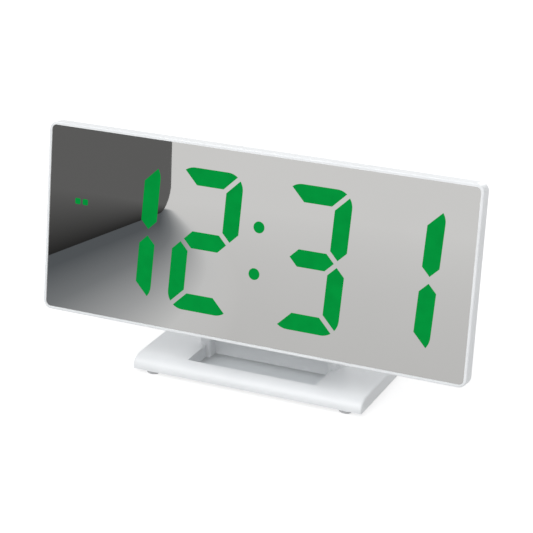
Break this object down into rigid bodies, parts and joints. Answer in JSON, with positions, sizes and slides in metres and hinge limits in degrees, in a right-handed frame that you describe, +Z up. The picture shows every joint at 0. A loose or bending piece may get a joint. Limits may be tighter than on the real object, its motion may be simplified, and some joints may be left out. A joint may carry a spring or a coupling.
{
  "type": "digital mirror clock",
  "caption": "Wide mirror-faced digital clock with lit green figures, tilting on a forked neck over a low window-frame stand.",
  "frame": {"origin": "on the table, under the middle of the stand", "axes": "+Z up, +X to the right of someone reading the display, the display faces -Y"},
  "size_m": [0.186, 0.046, 0.0992],
  "materials": {
    "white_plastic": "satin white moulding",
    "mirror": "half-mirror acrylic",
    "led_green": "lit green",
    "film": "frosted film",
    "reflector": "matt moulding",
    "led_chip": "clear resin",
    "board": "solder mask",
    "chip_black": "moulded resin",
    "steel": "plated",
    "nickel": "nickel plate",
    "washer": "nylon",
    "battery_jacket": "plain sleeve",
    "rubber_grey": "matt",
    "button_grey": "satin",
    "switch_plunger": "moulded"
  },
  "bodies": {
    "stand": {"stand": "white_plastic", "hinge_pin": "steel", "friction_washer_left": "washer", "friction_washer_right": "washer", "foot_front_left": "rubber_grey", "foot_front_right": "rubber_grey", "foot_rear_left": "rubber_grey", "foot_rear_right": "rubber_grey"},
    "head": {"front_frame": "white_plastic", "rear_cover": "white_plastic", "mirror_panel": "mirror", "diffuser_film": "film", "segment_reflector": "reflector", "led_chips": "led_chip", "circuit_board": "board", "board_screws": "steel", "cover_screws": "steel", "controller_chip": "chip_black", "clock_crystal": "nickel", "buzzer": "chip_black", "usb_socket": "nickel", "battery_plates": "nickel", "battery_springs": "nickel", "colon_dots": "led_green", "indicator_pips": "led_green", "hour_tens_segments": "led_green", "hour_ones_segments": "led_green", "minute_tens_segments": "led_green", "minute_ones_segments": "led_green", "battery_cell_1": "battery_jacket", "battery_cell_2": "battery_jacket", "battery_cell_3": "battery_jacket", "mode_switch": "chip_black", "alarm_switch": "chip_black", "up_switch": "chip_black", "down_switch": "chip_black", "snooze_switch": "chip_black"},
    "mode_button": {"mode_button": "button_grey", "mode_plunger": "switch_plunger"},
    "alarm_button": {"alarm_button": "button_grey", "alarm_plunger": "switch_plunger"},
    "up_button": {"up_button": "button_grey", "up_plunger": "switch_plunger"},
    "down_button": {"down_button": "button_grey", "down_plunger": "switch_plunger"},
    "snooze_button": {"snooze_button": "button_grey", "snooze_plunger": "switch_plunger"},
    "battery_door": {"battery_door": "white_plastic"}
  },
  "joints": [
    {"name": "head_tilt", "type": "hinge", "parent": "stand", "child": "head", "pos_m": [0, 0.0045, 0.0264], "axis": [-1, 0, 0], "range_deg": [-10, 81.3]},
    {"name": "mode_press", "type": "slide", "parent": "head", "child": "mode_button", "axis": [0, -0.9885, 0.1513], "range_m": [0, 0.0006], "stiffness_N_per_m": 400},
    {"name": "alarm_press", "type": "slide", "parent": "head", "child": "alarm_button", "axis": [0, -0.9885, 0.1513], "range_m": [0, 0.0006], "stiffness_N_per_m": 400},
    {"name": "up_press", "type": "slide", "parent": "head", "child": "up_button", "axis": [0, -0.9885, 0.1513], "range_m": [0, 0.0006], "stiffness_N_per_m": 400},
    {"name": "down_press", "type": "slide", "parent": "head", "child": "down_button", "axis": [0, -0.9885, 0.1513], "range_m": [0, 0.0006], "stiffness_N_per_m": 400},
    {"name": "snooze_press", "type": "slide", "parent": "head", "child": "snooze_button", "axis": [0, -0.9885, 0.1513], "range_m": [0, 0.0006], "stiffness_N_per_m": 400},
    {"name": "door_pull", "type": "slide", "parent": "head", "child": "battery_door", "axis": [0, 0.9885, -0.1513], "range_m": [0, 0.015]}
  ]
}
